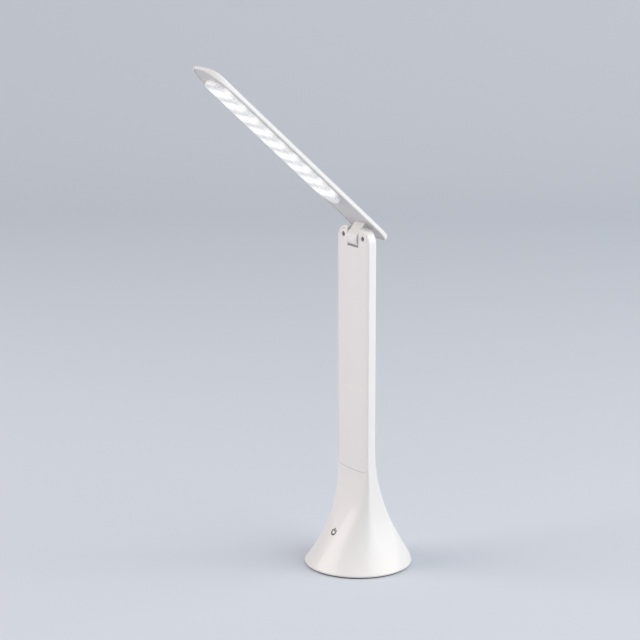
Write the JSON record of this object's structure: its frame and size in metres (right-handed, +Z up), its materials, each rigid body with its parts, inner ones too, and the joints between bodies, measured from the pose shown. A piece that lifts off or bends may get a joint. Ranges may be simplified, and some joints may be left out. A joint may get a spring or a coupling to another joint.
{
  "type": "folding led desk lamp",
  "caption": "Cordless desk lamp with a trumpet foot, a slim upright stem and a long flat light head that folds down on a friction hinge.",
  "frame": {"origin": "centre of the anti-slip pad's flat underside, where the lamp stands on the table", "axes": "+Z up, X across the stem and head, -Y towards the front, where the head's lights face down; +X is to the right seen from the front"},
  "size_m": [0.095, 0.2081, 0.4537],
  "materials": {
    "white_shell": "satin white",
    "under_cover": "matte light grey",
    "lens": "clear, lightly frosted",
    "led": "clear domes",
    "white_board": "white",
    "green_board": "solder mask",
    "inner_plastic": "moulded",
    "battery_wrap": "shrink wrap",
    "pad": "matte",
    "iron": "cast",
    "steel": "zinc plated",
    "dark_steel": "blackened",
    "brass": "plain",
    "lead": "insulation"
  },
  "bodies": {
    "stand": {"stand_shell": "white_shell", "base_plate": "white_shell", "anti_slip_pad": "pad", "ballast_weight": "iron", "battery_cradle": "inner_plastic", "battery_pack": "battery_wrap", "control_board": "green_board", "charging_socket": "steel", "touch_leaf": "brass", "base_screws": "steel", "stem_front_cover": "white_shell", "cover_screws": "dark_steel", "stem_lead": "lead", "hinge_pin": "steel", "friction_washers": "steel"},
    "head": {"hinge_tongue": "white_shell", "tongue_screws": "steel", "head_top_shell": "white_shell", "head_under_cover": "under_cover", "led_lens": "lens", "reflector": "white_board", "led_board": "white_board", "board_screws": "steel", "leds": "led", "head_lead": "lead"}
  },
  "joints": [
    {"name": "head_fold", "type": "hinge", "parent": "stand", "child": "head", "pos_m": [0, -0.0025, 0.294], "axis": [1, 0, 0], "range_deg": [-48, 132]}
  ]
}
